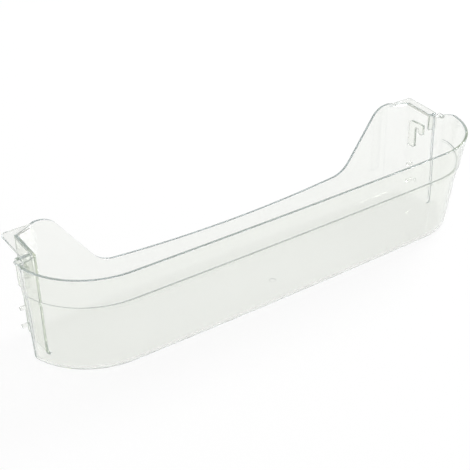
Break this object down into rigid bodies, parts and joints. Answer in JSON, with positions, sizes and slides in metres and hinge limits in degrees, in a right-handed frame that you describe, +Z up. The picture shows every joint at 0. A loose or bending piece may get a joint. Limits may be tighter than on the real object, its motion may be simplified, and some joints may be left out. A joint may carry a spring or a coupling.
{
  "type": "refrigerator door shelf",
  "caption": "Clear moulded door shelf for a refrigerator: an open tray with a proud band round its front, a low sagging back between raised corners, and a hook and pins at each end.",
  "frame": {"origin": "on the underside, under the middle of the bounding box", "axes": "+Z up; front of the shelf, the side that faces into the room, towards -Y; length along X; the plane X = 0 is a plane of symmetry"},
  "size_m": [0.44, 0.109, 0.0957],
  "materials": {
    "clear_plastic": "clear, polished"
  },
  "bodies": {
    "root": {"door_shelf": "clear_plastic"}
  },
  "joints": []
}
